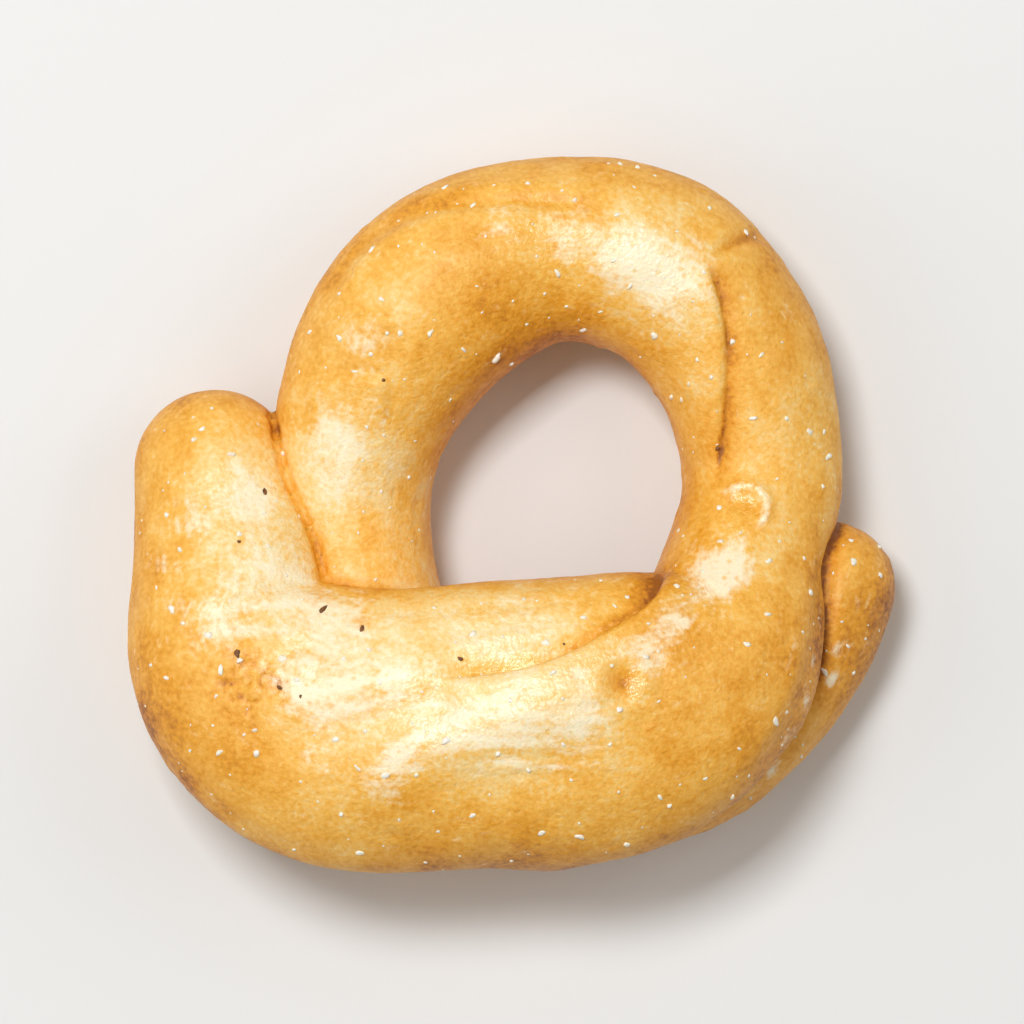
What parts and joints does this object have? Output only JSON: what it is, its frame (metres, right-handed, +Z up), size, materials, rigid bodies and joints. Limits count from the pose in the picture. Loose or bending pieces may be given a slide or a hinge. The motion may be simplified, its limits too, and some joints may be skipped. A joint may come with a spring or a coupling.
{
  "type": "tarallo",
  "caption": "Baked ring of rolled dough with its two ends crossed and pressed together, for snacks, plates and food scenes.",
  "frame": {"origin": "middle of the footprint of the tarallo, on the surface that it lies on", "axes": "+Z up from the flat baked underside; +Y from the crossed ends across the hole to the far side; +X to the right, towards the lower end's tip"},
  "size_m": [0.0424, 0.0396, 0.0151],
  "materials": {
    "crust": "satin"
  },
  "bodies": {
    "root": {"tarallo": "crust"}
  },
  "joints": []
}
